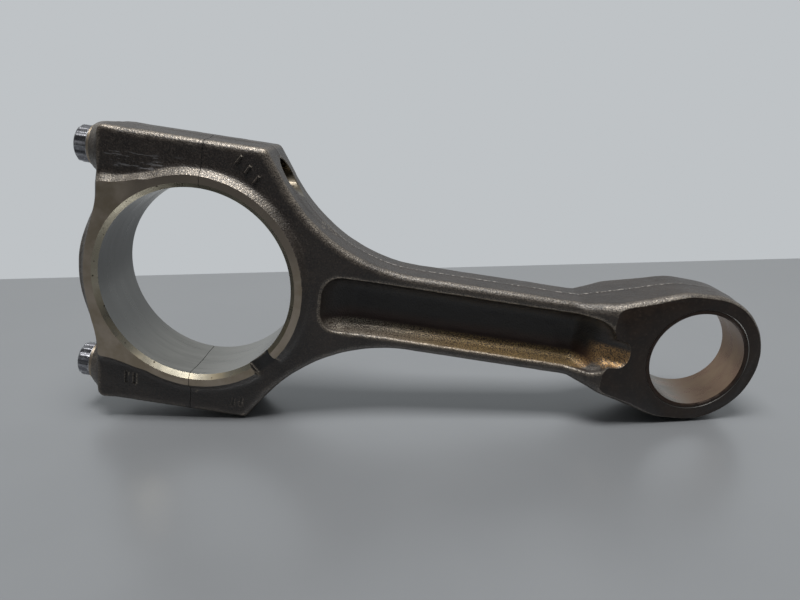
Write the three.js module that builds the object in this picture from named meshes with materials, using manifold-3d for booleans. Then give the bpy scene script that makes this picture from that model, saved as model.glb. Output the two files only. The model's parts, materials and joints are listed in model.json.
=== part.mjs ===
/**
 * Connecting rod of a small car engine: a fracture-split steel forging with its cap,
 * two cap bolts and a bronze-lined bush in the small end.
 *
 * Millimetres. Everything is drawn in the rod's own frame and then laid down:
 *   X  along the rod, from the big-end bore centre to the small-end bore centre
 *   Y  along both bores
 *   Z  across the rod
 * At the end the whole rod is tipped about Y until it stands on a bolt boss and on the
 * small end, and the origin goes to the middle of its base, with +Z up.
 */
import * as THREE from 'three';
import { mergeVertices } from 'three/addons/utils/BufferGeometryUtils.js';
import Module from 'manifold-3d';

const wasm = await Module();
wasm.setup();

// ---- Driving dimensions -------------------------------------------------------------

const centres = 145; // big-end bore to small-end bore
const bigBoreRadius = 27.5;
const bigWidth = 24; // over the two thrust faces
const boreChamfer = 1.3;
const pinBoreRadius = 14; // inside the bush
const bushWall = 1.2;

const faceRadius = 31; // edge of the round thrust face
const faceStep = 2; // the thrust faces stand this far proud of the bosses, on a 45 degree edge
const padHalfHeight = 26.3; // the cap's thrust face widens into a pad of this half height

const bossHalfHeight = 40.7; // outer sides of the bolt bosses
const bossCorner = 2.5;
const shoulderAngle = THREE.MathUtils.degToRad(56); // slope of the bosses' inner ends
const bossEndX = -28.8; // flat ends of the cap's bolt bosses
const seatX = -33.2; // where the bolt heads sit, on a cone raised from each boss end
const seatRadius = 5.7;
const seatFlare = THREE.MathUtils.degToRad(39); // slope of the cones
const capBackRadius = 34;
const capBackFillet = 8;
const splitGap = 0.3; // the fracture plane is X = 0
const splitOverlap = 4; // both halves are drawn this far across it, then cut

const shankHalfHeight = 11.5;
const shankHalfWidth = 8.5;
const neckRadius = 48; // sweep from the shank into the shoulders
const neckEndX = 62.4;
const neckBlend = [31, 55]; // between these the side faces close in to the shank's width

const pocketStartX = 35.5;
const pocketEndX = 119.5;
const pocketHalfHeight = 8;
const pocketCorner = 6;
const pocketFillet = 4;
const webHalfWidth = 2;
const runoutStartX = 111; // the pocket's floor climbs from here
const tongueEndX = 125.5; // to here, on the small end's side face
const tongueHalfHeight = 4.4;

const eyeRadius = 19.7;
const flareStartX = 110; // the shank starts to widen towards the eye
const eyeStartX = 139.9; // the eye is drawn out along the rod from here to the pin's centre
const eyeHalfWidth = 9.2; // at the pin's centre
const eyeTaper = 0.145; // slope of each side face: thicker towards the shank
const eyeStepX = [108.5, 117.4]; // ramp from the shank's side up to the tapered face

const boltOffset = 33.5;
const boltRadius = 4;
const boltWaistRadius = 3.6;
const boltEndX = 15;
const threadX = -2; // the full-diameter thread starts here
const boltClearance = 0.3;
const washerRadius = 5.3; // thin round face under the head
const washerHeight = 0.5;
const headHeight = 3.4;
const headRadii = [5.25, 4.65]; // points and roots of the twelve-point head
const headPoints = 12;

const notchAngle = THREE.MathUtils.degToRad(-43.5);
const notchWidth = 7;

const touchGap = 0.3; // between pieces that touch
const beyond = 30; // how far a cutter runs past what it cuts

// ---- Helpers ------------------------------------------------------------------------

/** A closed geometry as a manifold solid. */
function solid(geometry) {
  const bare = geometry.clone();
  bare.deleteAttribute('normal');
  bare.deleteAttribute('uv');
  const merged = mergeVertices(bare, 1e-4);
  return new wasm.Manifold(new wasm.Mesh({
    numProp: 3,
    vertProperties: new Float32Array(merged.attributes.position.array),
    triVerts: new Uint32Array(merged.index.array),
  }));
}

/** A manifold solid as a geometry. */
function geometryOf(body) {
  const mesh = body.getMesh();
  const geometry = new THREE.BufferGeometry();
  geometry.setAttribute('position', new THREE.BufferAttribute(mesh.vertProperties, 3));
  geometry.setIndex(new THREE.BufferAttribute(mesh.triVerts, 1));
  geometry.computeVertexNormals();
  return geometry;
}

/** An outline in X-Z made into a slab along Y, centred on Y = 0, with bevelled edges. */
function slab(outline, width, bevel = 0, curveSegments = 16) {
  const geometry = new THREE.ExtrudeGeometry(outline, {
    depth: width - 2 * bevel,
    bevelEnabled: bevel > 0,
    bevelThickness: bevel,
    bevelSize: bevel,
    bevelOffset: -bevel,
    bevelSegments: 1,
    curveSegments,
  });
  geometry.translate(0, 0, bevel - width / 2);
  geometry.rotateX(Math.PI / 2);
  return geometry;
}

/** An outline in X-Y made into a slab along Z, tall enough to reach past the whole rod. */
function tallSlab(points) {
  const height = 2 * (bossHalfHeight + beyond);
  const outline = new THREE.Shape(points.map(([x, y]) => new THREE.Vector2(x, y)));
  const geometry = new THREE.ExtrudeGeometry(outline, { depth: height, bevelEnabled: false });
  return geometry.translate(0, 0, -height / 2);
}

/** A box between two corners. */
function boxBetween(low, high) {
  const size = high.map((value, i) => value - low[i]);
  const middle = high.map((value, i) => (value + low[i]) / 2);
  return new THREE.BoxGeometry(...size).translate(...middle);
}

/** A solid of revolution about the Y axis through X = x. */
function turned(profile, x = 0, segments = 96) {
  const points = profile.map(([r, y]) => new THREE.Vector2(r, y));
  return new THREE.LatheGeometry([...points, points[0]], segments).translate(x, 0, 0);
}

// ---- Outlines in the rod's X-Z plane --------------------------------------------------

// The neck arc meets the sloping shoulder here, and the shoulder meets the boss side there.
const neckStart = new THREE.Vector2(
  neckEndX - neckRadius * Math.sin(shoulderAngle),
  shankHalfHeight + neckRadius * (1 - Math.cos(shoulderAngle)),
);
const shoulderX = neckStart.x
  - (bossHalfHeight - neckStart.y) / Math.tan(shoulderAngle);

// The boss corner is rounded between the boss side and the shoulder.
const cornerSetback = bossCorner * Math.tan(shoulderAngle / 2);
const cornerCentre = new THREE.Vector2(shoulderX - cornerSetback, bossHalfHeight - bossCorner);

// The flank runs straight from the shank and touches the eye.
const flankLength = Math.hypot(eyeStartX - flareStartX, shankHalfHeight);
const flankAngle = Math.asin(eyeRadius / flankLength)
  - Math.atan2(shankHalfHeight, eyeStartX - flareStartX);

/** Half an outline, mirrored in Z and closed. The half runs from low X to high X. */
function mirrored(half) {
  const points = half.map(([x, z]) => new THREE.Vector2(x, z));
  const back = half.map(([x, z]) => new THREE.Vector2(x, -z)).reverse();
  const ends = back.filter((point) => Math.abs(point.y) > 1e-6);
  return new THREE.Shape([...points, ...ends].reverse());
}

/** Points of an arc about (cx, cz) from one angle to another. */
function arc(cx, cz, radius, from, to, steps) {
  const points = [];
  for (let i = 0; i <= steps; i += 1) {
    const angle = from + ((to - from) * i) / steps;
    points.push([cx + radius * Math.cos(angle), cz + radius * Math.sin(angle)]);
  }
  return points;
}

/** The rod half: boss, shoulder, neck, shank and eye. */
function rodOutline() {
  const quarter = Math.PI / 2;
  return mirrored([
    [-splitOverlap, bossHalfHeight],
    ...arc(cornerCentre.x, cornerCentre.y, bossCorner, quarter, quarter - shoulderAngle, 5),
    ...arc(neckEndX, shankHalfHeight + neckRadius, neckRadius,
      -quarter - shoulderAngle, -quarter, 14),
    [flareStartX, shankHalfHeight],
    ...arc(eyeStartX, 0, eyeRadius, quarter + flankAngle, quarter, 3),
    ...arc(centres, 0, eyeRadius, quarter, 0, 22),
  ]);
}

/** The cap half: curved back, boss ends and boss sides. */
function capOutline() {
  const filletX = bossEndX - capBackFillet;
  const filletZ = Math.sqrt((capBackRadius + capBackFillet) ** 2 - filletX ** 2);
  const tangent = Math.atan2(filletZ, filletX);
  const quarter = Math.PI / 2;
  return mirrored([
    ...arc(0, 0, capBackRadius, Math.PI, tangent, 12),
    ...arc(filletX, filletZ, capBackFillet, tangent - Math.PI, 0, 5),
    ...arc(bossEndX + bossCorner, bossHalfHeight - bossCorner, bossCorner, Math.PI, quarter, 5),
    [splitOverlap, bossHalfHeight],
  ]);
}

// ---- Cutters and shared forms ---------------------------------------------------------

/** Side view of the rod in X-Y: how wide it is along its length. */
function sideProfile() {
  const bossHalfWidth = bigWidth / 2 - faceStep;
  const tipX = centres + eyeRadius + 1;
  const faceY = (x) => eyeHalfWidth - eyeTaper * (x - centres);
  const half = [
    [-splitOverlap, bossHalfWidth],
    [neckBlend[0], bossHalfWidth],
    [neckBlend[1], shankHalfWidth],
    [eyeStepX[0], shankHalfWidth],
    [eyeStepX[1], faceY(eyeStepX[1])],
    [tipX, faceY(tipX)],
  ];
  return [...half.map(([x, y]) => [x, -y]), ...half.reverse()];
}

/** The round thrust face and the cap's wider pad, with their sloping edge. */
function thrustForm() {
  const half = bigWidth / 2;
  const round = solid(turned([
    [0, -half], [faceRadius, -half], [faceRadius + faceStep, faceStep - half],
    [faceRadius + faceStep, half - faceStep], [faceRadius, half], [0, half],
  ]));
  const padTop = padHalfHeight + faceStep;
  const pad = new THREE.Shape([
    new THREE.Vector2(bossEndX - beyond, -padTop),
    new THREE.Vector2(-faceRadius / 2, -padTop),
    new THREE.Vector2(-faceRadius / 2, padTop),
    new THREE.Vector2(bossEndX - beyond, padTop),
  ]);
  return round.add(solid(slab(pad, bigWidth, faceStep)));
}

/** The big-end bore with a chamfer at each end. */
function bigBore() {
  const half = bigWidth / 2;
  const past = 2;
  const mouth = bigBoreRadius + boreChamfer + past;
  return solid(turned([
    [0, -half - past], [mouth, -half - past], [bigBoreRadius, boreChamfer - half],
    [bigBoreRadius, half - boreChamfer], [mouth, half + past], [0, half + past],
  ]));
}

/** The cones that carry the bolt heads, cut off flush with the bosses' sides. */
function boltSeats() {
  const footX = bossEndX + bossCorner;
  const height = footX - seatX;
  const footRadius = seatRadius + height * Math.tan(seatFlare);
  const cone = (side) => solid(new THREE.CylinderGeometry(seatRadius, footRadius, height, 48)
    .rotateZ(Math.PI / 2)
    .translate((seatX + footX) / 2, 0, side * boltOffset));
  const bossHalfWidth = bigWidth / 2 - faceStep;
  const sides = boxBetween(
    [seatX - beyond, -bossHalfWidth, -bossHalfHeight],
    [0, bossHalfWidth, bossHalfHeight],
  );
  return cone(1).add(cone(-1)).intersect(solid(sides));
}

/** The two bolt holes, from past the cap's seats to past the shoulders. */
function boltHoles() {
  const length = 2 * beyond + bossHalfHeight;
  const radius = boltRadius + boltClearance;
  const hole = (side) => solid(new THREE.CylinderGeometry(radius, radius, length, 32)
    .rotateZ(Math.PI / 2)
    .translate(0, 0, side * boltOffset));
  return hole(1).add(hole(-1));
}

/** One web pocket, on the -Y side, or on the +Y side when turned over about X. */
function pocket(turn) {
  const r = pocketCorner;
  const main = mirrored([
    [pocketStartX, 0],
    ...arc(pocketStartX + r, pocketHalfHeight - r, r, Math.PI, Math.PI / 2, 5),
    ...arc(pocketEndX - r, pocketHalfHeight - r, r, Math.PI / 2, 0, 5),
    [pocketEndX, 0],
  ]);
  const tongue = mirrored([
    [runoutStartX, tongueHalfHeight],
    ...arc(tongueEndX - tongueHalfHeight, 0, tongueHalfHeight, Math.PI / 2, 0, 6),
  ]);
  const width = 2 * beyond;
  const outY = -webHalfWidth - beyond;
  const faceY = eyeTaper * (tongueEndX - centres) - eyeHalfWidth;
  const climb = (faceY + webHalfWidth) / (tongueEndX - runoutStartX);
  const lastX = tongueEndX + beyond / 2;
  const floor = tallSlab([
    [0, outY], [lastX, outY], [lastX, faceY + climb * (lastX - tongueEndX)],
    [runoutStartX, -webHalfWidth], [0, -webHalfWidth],
  ]);
  const deep = slab(main, width, pocketFillet).translate(0, -width / 2 - webHalfWidth, 0);
  const end = slab(tongue, width).translate(0, -width / 2 - webHalfWidth, 0);
  return solid(deep.rotateX(turn))
    .add(solid(end.rotateX(turn)))
    .intersect(solid(floor.rotateX(turn)));
}

/** The notch across the rod's front thrust face. */
function notch() {
  const reach = bigBoreRadius + boreChamfer + faceRadius;
  const bar = boxBetween(
    [bigBoreRadius / 2, -bigWidth, -notchWidth / 2],
    [reach, faceStep - bigWidth / 2, notchWidth / 2],
  );
  return solid(bar.rotateY(-notchAngle));
}

/** Everything on one side of the fracture plane. */
function halfSpace(side) {
  const near = (side * splitGap) / 2;
  const far = side * (centres + 2 * beyond);
  const wide = bossHalfHeight + beyond;
  return solid(boxBetween(
    [Math.min(near, far), -wide, -wide],
    [Math.max(near, far), wide, wide],
  ));
}

// ---- Pieces ---------------------------------------------------------------------------

/** The forging: the upper half of the big end, the I-section shank and the small end. */
function rodForging() {
  const eyeBore = pinBoreRadius + bushWall + touchGap;
  const blank = solid(slab(rodOutline(), 2 * beyond)).intersect(solid(tallSlab(sideProfile())));
  const thrust = solid(slab(rodOutline(), bigWidth, faceStep)).intersect(thrustForm());
  const boreCutter = new THREE.CylinderGeometry(eyeBore, eyeBore, 2 * beyond, 72);
  return blank.add(thrust)
    .subtract(bigBore())
    .subtract(boltHoles())
    .subtract(pocket(0))
    .subtract(pocket(Math.PI))
    .subtract(solid(boreCutter.translate(centres, 0, 0)))
    .subtract(notch())
    .intersect(halfSpace(1));
}

/** The cap, with the rest of the big-end bore. */
function bigEndCap() {
  const blank = solid(slab(capOutline(), bigWidth - 2 * faceStep));
  const thrust = solid(slab(capOutline(), bigWidth, faceStep)).intersect(thrustForm());
  return blank.add(thrust)
    .add(boltSeats())
    .subtract(bigBore())
    .subtract(boltHoles())
    .intersect(halfSpace(-1));
}

/** The bush: its ends follow the small end's tapered faces, a little below them. */
function smallEndBush() {
  const reach = centres - eyeStepX[1];
  const width = (x) => eyeHalfWidth - eyeTaper * x - touchGap;
  const wedge = tallSlab([
    [-reach, -width(-reach)], [reach, -width(reach)], [reach, width(reach)], [-reach, width(-reach)],
  ]).translate(centres, 0, 0);
  const ring = turned([
    [pinBoreRadius, -beyond], [pinBoreRadius + bushWall, -beyond],
    [pinBoreRadius + bushWall, beyond], [pinBoreRadius, beyond],
  ], centres, 72);
  return solid(ring).intersect(solid(wedge));
}

/** A twelve-point cap bolt, drawn along +Y with its seat at Y = 0 and its shank below. */
function capBolt() {
  const shankLength = boltEndX - seatX;
  const threadStart = seatX - threadX;
  const taper = boltRadius - boltWaistRadius;
  const body = solid(turned([
    [0, -shankLength], [boltWaistRadius - taper, -shankLength], [boltRadius, -shankLength + 1],
    [boltRadius, threadStart], [boltWaistRadius, threadStart + taper],
    [boltWaistRadius, -2 - taper], [boltRadius, -2], [boltRadius, 0],
    [washerRadius, 0], [washerRadius, washerHeight], [0, washerHeight],
  ], 0, 36));
  const star = new THREE.Shape();
  for (let i = 0; i < 2 * headPoints; i += 1) {
    const angle = (Math.PI * i) / headPoints;
    const radius = headRadii[i % 2];
    const place = [radius * Math.cos(angle), radius * Math.sin(angle)];
    if (i === 0) star.moveTo(...place);
    else star.lineTo(...place);
  }
  const overlap = washerHeight / 2; // the head starts inside the washer face
  const head = new THREE.ExtrudeGeometry(star, {
    depth: headHeight + overlap - 0.5,
    bevelThickness: 0.5,
    bevelSize: 0.5,
    bevelOffset: -0.5,
    bevelSegments: 1,
  });
  head.rotateX(-Math.PI / 2).translate(0, washerHeight - overlap, 0);
  return geometryOf(body.add(solid(head)));
}

// ---- Assembly -------------------------------------------------------------------------

const materials = {
  forging: new THREE.MeshStandardMaterial({ color: 0x3a342f, roughness: 0.55, metalness: 0.9 }),
  cap: new THREE.MeshStandardMaterial({ color: 0x3f3832, roughness: 0.55, metalness: 0.9 }),
  bolt: new THREE.MeshStandardMaterial({ color: 0x6c6a68, roughness: 0.35, metalness: 1 }),
  bush: new THREE.MeshStandardMaterial({ color: 0xb08a62, roughness: 0.3, metalness: 1 }),
};

function piece(name, geometry, material) {
  const mesh = new THREE.Mesh(geometry, material);
  mesh.name = name;
  return mesh;
}

const rod = new THREE.Group();
rod.add(piece('rod_forging', geometryOf(rodForging()), materials.forging));
rod.add(piece('big_end_cap', geometryOf(bigEndCap()), materials.cap));
rod.add(piece('small_end_bush', geometryOf(smallEndBush()), materials.bush));

for (const [name, side] of [['upper_cap_bolt', 1], ['lower_cap_bolt', -1]]) {
  const bolt = piece(name, capBolt(), materials.bolt);
  bolt.rotation.z = Math.PI / 2; // the head points along -X
  bolt.position.set(seatX - touchGap, 0, side * boltOffset);
  rod.add(bolt);
}

// The rod rests on the round of the lower boss corner and on the eye.
const boss = new THREE.Vector2(cornerCentre.x, -cornerCentre.y);
const toEye = new THREE.Vector2(centres, 0).sub(boss);
const restAngle = Math.atan2(toEye.y, toEye.x)
  - Math.asin((eyeRadius - bossCorner) / toEye.length());
rod.rotation.y = restAngle;

const model = new THREE.Group();
model.add(rod);
model.updateMatrixWorld(true);
const extent = new THREE.Box3().setFromObject(model, true);
const middle = extent.getCenter(new THREE.Vector3());
rod.position.set(-middle.x, -middle.y, -extent.min.z);
model.updateMatrixWorld(true);

export default model;
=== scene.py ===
"""Looks for the connecting rod: fine meshes, machined surfaces and materials.

The pieces are drawn in the rod's own frame, in millimetres: X along the rod from the big-end
bore to the small-end bore, Y along the bores, Z across. ROD_TO_ROW lays them down where the
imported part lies. The forging is a signed distance field, meshed finely and then machined with
booleans, as the real one is forged first and machined afterwards.
"""

import json
import math
from functools import partial

import bmesh
import bpy
import numpy as np
from mathutils import Matrix, Vector


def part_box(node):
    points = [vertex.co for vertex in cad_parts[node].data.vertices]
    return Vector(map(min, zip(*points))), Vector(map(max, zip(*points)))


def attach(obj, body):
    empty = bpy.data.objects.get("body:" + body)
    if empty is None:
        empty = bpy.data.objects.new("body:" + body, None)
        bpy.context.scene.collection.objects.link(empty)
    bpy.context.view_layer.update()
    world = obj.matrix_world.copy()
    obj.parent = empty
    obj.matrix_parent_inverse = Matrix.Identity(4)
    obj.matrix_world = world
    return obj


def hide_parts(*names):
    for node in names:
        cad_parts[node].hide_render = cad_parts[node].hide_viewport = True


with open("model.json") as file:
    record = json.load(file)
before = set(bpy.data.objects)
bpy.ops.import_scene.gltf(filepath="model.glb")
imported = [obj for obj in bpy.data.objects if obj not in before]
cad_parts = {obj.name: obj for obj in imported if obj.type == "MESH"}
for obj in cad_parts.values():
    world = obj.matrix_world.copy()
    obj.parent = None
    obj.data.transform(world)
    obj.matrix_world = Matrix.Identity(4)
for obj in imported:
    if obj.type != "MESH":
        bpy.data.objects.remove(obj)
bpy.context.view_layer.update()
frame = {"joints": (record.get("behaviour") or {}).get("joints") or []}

# ---- Driving dimensions, in millimetres ----

CENTRES = 145.0
BIG_BORE_R = 27.5
BIG_HALF_WIDTH = 12.0
BORE_CHAMFER = 1.3
PIN_BORE_R = 14.0
BUSH_WALL = 1.2
BUSH_R = PIN_BORE_R + BUSH_WALL
BUSH_RECESS = 0.08
BUSH_PLAY = 0.02
EYE_LIP = 0.12

FACE_R = 31.0
PAD_HALF_HEIGHT = 25.8
PAD_END_X = -27.2
BOSS_HALF_WIDTH = 10.0
BOSS_HALF_HEIGHT = 40.75
BOSS_CORNER = 2.5
SHOULDER_ANGLE = math.radians(56)
BOSS_END_X = -28.8
SEAT_X = -33.2
SEAT_R = 5.85
SEAT_FLARE = math.radians(39)
SEAT_STEP_X = -32.0
CAP_BACK_R = 34.0
CAP_BACK_FILLET = 8.0

SHANK_HALF_HEIGHT = 11.55
SHANK_HALF_WIDTH = 8.5
NECK_R = 48.0
NECK_END_X = 62.4
POCKET_X = (35.5, 119.8)
POCKET_HALF_HEIGHT = 8.0
POCKET_CORNER = 6.0
WEB_HALF_WIDTH = 2.0
TONGUE_X = (104.0, 125.7)
TONGUE_HALF_HEIGHT = 4.2
TONGUE_OFFSET = -0.7

EYE_R = 19.7
EYE_START_X = 139.9
FLARE_START_X = 110.0
EYE_HALF_WIDTH = 9.2
EYE_TAPER = 0.145
EYE_STEP_X = (108.5, 117.4)

BOLT_OFFSET = 33.25
BOLT_R = 4.0
BOLT_COLLAR = 2.0
BOLT_WAIST_R = 3.6
BOLT_TIP_R = 2.9
BOLT_END_X = 15.0
THREAD_START_X = -2.0
THREAD_PITCH = 1.0
THREAD_R = (3.38, 3.96)
HOLE_R = 4.2
TAPPED_END_X = 17.5
TAPPED_R = (3.45, 4.08)
WASHER_R = 5.3
WASHER_HEIGHT = 0.4
HEAD_HEIGHT = 3.75
HEAD_FLAT = 4.6
HEAD_POINT_R = 5.22
HEAD_CROWN_R = HEAD_FLAT * 0.94
HEAD_CROWN_SLOPE = 1.4
HEAD_DISH = ((0, 0.9), (2.6, 0.8), (3.3, 0.15), (3.6, 0))
CRACK_HALF_GAP = 0.09

MM = 0.001
GRID_STEP = 0.48
FRACTURE_STEP = 0.42
THREAD_STEPS = 6
BORE_SEGMENTS = 288
EYE_SEGMENTS = 192
BOLT_SEGMENTS = 96
HOLE_SEGMENTS = 64
TAPPED_SEGMENTS = 48

# ---- From the rod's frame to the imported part's ----

bolt_axis = Vector(frame["joints"][0]["axis"])
REST_ANGLE = math.atan2(bolt_axis.z, -bolt_axis.x)
bush_low, bush_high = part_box("small_end_bush")
pin_centre = (bush_low + bush_high) / 2
turn = Matrix.Rotation(REST_ANGLE, 4, "Y")
ROD_TO_ROW = Matrix.Translation(pin_centre) @ turn @ Matrix.Translation((-CENTRES * MM, 0, 0))

# ---- Outlines in the rod's X-Z plane ----


def arc(centre, radius, start, end, steps):
    """Points of an arc from one angle to another."""
    angles = np.linspace(start, end, steps + 1)
    return np.column_stack(
        (centre[0] + radius * np.cos(angles), centre[1] + radius * np.sin(angles))
    )


NECK_START_X = NECK_END_X - NECK_R * math.sin(SHOULDER_ANGLE)
NECK_START_Z = SHANK_HALF_HEIGHT + NECK_R * (1 - math.cos(SHOULDER_ANGLE))
SHOULDER_X = NECK_START_X + NECK_START_Z / math.tan(SHOULDER_ANGLE)


def forging_outline():
    """The whole forging at its parting plane, cap and rod together, as a closed outline."""
    quarter = math.pi / 2
    fillet_x = BOSS_END_X - CAP_BACK_FILLET
    fillet_z = math.sqrt((CAP_BACK_R + CAP_BACK_FILLET) ** 2 - fillet_x**2)
    tangent = math.atan2(fillet_z, fillet_x)
    shoulder_x = SHOULDER_X - BOSS_HALF_HEIGHT / math.tan(SHOULDER_ANGLE)
    corner_x = shoulder_x - BOSS_CORNER * math.tan(SHOULDER_ANGLE / 2)
    corner_z = BOSS_HALF_HEIGHT - BOSS_CORNER
    neck = (NECK_END_X, SHANK_HALF_HEIGHT + NECK_R)
    flank = math.asin(EYE_R / math.hypot(EYE_START_X - FLARE_START_X, SHANK_HALF_HEIGHT))
    flank -= math.atan2(SHANK_HALF_HEIGHT, EYE_START_X - FLARE_START_X)
    parts = [
        arc((0, 0), CAP_BACK_R, math.pi, tangent, 16),
        arc((fillet_x, fillet_z), CAP_BACK_FILLET, tangent - math.pi, 0, 8),
        arc((BOSS_END_X + BOSS_CORNER, corner_z), BOSS_CORNER, math.pi, quarter, 6),
        arc((corner_x, corner_z), BOSS_CORNER, quarter, quarter - SHOULDER_ANGLE, 6),
        arc(neck, NECK_R, -quarter - SHOULDER_ANGLE, -quarter, 24),
        [(FLARE_START_X, SHANK_HALF_HEIGHT)],
        arc((EYE_START_X, 0), EYE_R, quarter + flank, quarter, 4),
        arc((CENTRES, 0), EYE_R, quarter, 0, 36),
    ]
    upper = np.vstack(parts)
    lower = upper[1:-1][::-1] * (1, -1)
    return np.vstack((upper, lower))


def outline_distance(x, z, outline):
    """Signed distance from points to a closed outline, negative inside."""
    nearest = np.full(x.shape, np.inf)
    inside = np.zeros(x.shape, bool)
    for (ax, az), (bx, bz) in zip(outline, np.roll(outline, -1, axis=0)):
        dx, dz = bx - ax, bz - az
        length2 = dx * dx + dz * dz
        if length2 < 1e-12:
            continue
        along = np.clip(((x - ax) * dx + (z - az) * dz) / length2, 0, 1)
        nearest = np.minimum(nearest, (x - ax - along * dx) ** 2 + (z - az - along * dz) ** 2)
        if az != bz:
            crosses = (az > z) != (bz > z)
            inside ^= crosses & (x < ax + (z - az) * dx / dz)
    return np.where(inside, -1, 1) * np.sqrt(nearest)


# ---- Blending of distances ----

CUBE_CORNERS = [(i, j, k) for i in (0, 1) for j in (0, 1) for k in (0, 1)]


def meet(a, b, radius):
    """Where two solids overlap, with the edge between them rounded."""
    u = np.maximum(a + radius, 0)
    v = np.maximum(b + radius, 0)
    return np.minimum(-radius, np.maximum(a, b)) + np.sqrt(u * u + v * v)


def join(a, b, radius):
    """Two solids together, with the corner between them filleted."""
    return -meet(-a, -b, radius)


def ramp(x, points, soften=0.0):
    """A broken line through points, softened over a length."""
    xs, ys = zip(*points)
    if not soften:
        return np.interp(x, xs, ys)
    shifts = np.linspace(-soften, soften, 9)
    return np.mean([np.interp(x + shift, xs, ys) for shift in shifts], axis=0)


def lattice_noise(x, y, z, scale, seed):
    """Smooth random values between -1 and 1 that vary over a length of scale."""
    rng = np.random.default_rng(seed)
    side = 64
    table = rng.uniform(-1, 1, (side, side, side)).astype(np.float32)
    cells, parts = [], []
    for value in (x, y, z):
        scaled = value / scale
        cell = np.floor(scaled)
        part = scaled - cell
        cells.append(cell.astype(int))
        parts.append(part * part * (3 - 2 * part))
    total = 0
    for corner in CUBE_CORNERS:
        weight = 1
        for part, far in zip(parts, corner):
            weight = weight * (part if far else 1 - part)
        total = total + weight * table[tuple((c + far) % side for c, far in zip(cells, corner))]
    return total


# ---- The forging's distance field ----

DRAFT = math.tan(math.radians(1.2))
WALL_DRAFT = math.tan(math.radians(9.0))
MACHINING_STOCK = 0.6
FLASH_HEIGHT = 0.1
FLASH_WIDTH = 0.7
FLOOR_FILLET = 3.8
TONGUE_FILLET = 2.6
NOTCH_ANGLE = math.radians(-43.5)
NOTCH_WIDTH = 7.0


def face_width(x):
    """Half width of the tapered small end, as machined, at a place along the rod."""
    return EYE_HALF_WIDTH - EYE_TAPER * (x - CENTRES)


def half_width(x):
    """Half width of the forging along the rod, before the faces are machined."""
    eye_start, eye_end = EYE_STEP_X[1] + 1.6, CENTRES + 2 * EYE_R
    places = [
        (32, BOSS_HALF_WIDTH),
        (56, SHANK_HALF_WIDTH),
        (EYE_STEP_X[0], SHANK_HALF_WIDTH),
        (eye_start, face_width(eye_start) + MACHINING_STOCK),
        (eye_end, face_width(eye_end) + MACHINING_STOCK),
    ]
    return ramp(x, places, soften=1.2)


def edge_radius(x):
    """Rounding of the forging's outer edges along the rod."""
    big_end_and_shank = [(-27, 1.0), (-22, 2.0), (105, 2.0)]
    eye = [(116, 2.9), (128, 3.1), (138, 2.4), (165, 2.2)]
    return ramp(x, big_end_and_shank + eye)


def web_width(x):
    """Half width of the pocket's floor: the web, climbing out at both ends."""
    shelf_x, shelf_y, past_x = 116.0, 8.2, 150
    climb = (face_width(TONGUE_X[1]) - shelf_y) / (TONGUE_X[1] - shelf_x)
    places = [
        (30, WEB_HALF_WIDTH + 9),
        (45, WEB_HALF_WIDTH),
        (110.5, WEB_HALF_WIDTH),
        (shelf_x, shelf_y),
        (past_x, shelf_y + (past_x - shelf_x) * climb),
    ]
    return ramp(x, places, soften=1.0)


def box_distance(x, z, x_range, half_height, corner):
    """Signed distance to a rectangle with round corners in the X-Z plane."""
    mid = (x_range[0] + x_range[1]) / 2
    dx = np.abs(x - mid) - (x_range[1] - x_range[0]) / 2 + corner
    dz = np.abs(z) - half_height + corner
    outside = np.hypot(np.maximum(dx, 0), np.maximum(dz, 0))
    return outside + np.minimum(np.maximum(dx, dz), 0) - corner


def seat_cones(x, y, z):
    """Signed distance to the cones that carry the bolt heads, flush with the bosses' sides."""
    from_axis = np.hypot(y, np.abs(z) - BOLT_OFFSET)
    flare = from_axis - SEAT_R - (x - SEAT_X) * math.tan(SEAT_FLARE)
    inset = 0.35
    cone = meet(flare * math.cos(SEAT_FLARE), SEAT_X - MACHINING_STOCK - x, 0.6)
    side = np.abs(z) - BOSS_HALF_HEIGHT + inset + DRAFT * np.abs(y)
    cone = meet(cone, side, 1.2)
    cone = meet(cone, np.abs(y) - BOSS_HALF_WIDTH + inset, 1.0)
    return meet(cone, x - BOSS_END_X - BOSS_CORNER, 1.0)


def over_width(field):
    """A field of the X-Z plane, shaped to be met with values across the rod's width."""
    return field[:, None, :].astype(np.float32)


def along_rod(values):
    """Values along the rod, shaped to be met with a whole grid."""
    return values[:, None, None].astype(np.float32)


def notch_distance(x, z):
    """Signed distance to the straight notch that runs outward from the bore."""
    across = np.abs(z * math.cos(NOTCH_ANGLE) - x * math.sin(NOTCH_ANGLE)) - NOTCH_WIDTH / 2
    behind = -x * math.cos(NOTCH_ANGLE) - z * math.sin(NOTCH_ANGLE)
    return np.maximum(across, behind)


def thrust_field(x, z, ys, depth, wall):
    """Signed distance to the raised thrust faces, with the notch across the front one."""
    pad = meet(np.abs(z) - PAD_HALF_HEIGHT, np.maximum(x + FACE_R / 2, PAD_END_X - x), 1.2)
    face = join(np.hypot(x, z) - FACE_R, pad, 5.0)
    bevel = (over_width(face) - (BIG_HALF_WIDTH - depth)) / math.sqrt(2)
    thrust = meet(bevel, depth - BIG_HALF_WIDTH - MACHINING_STOCK, 0.4)
    front = ys[None, :, None].astype(np.float32)
    thrust = meet(thrust, -np.maximum(over_width(notch_distance(x, z)), front), 0.8)
    return meet(thrust, wall, 1.0)


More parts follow.
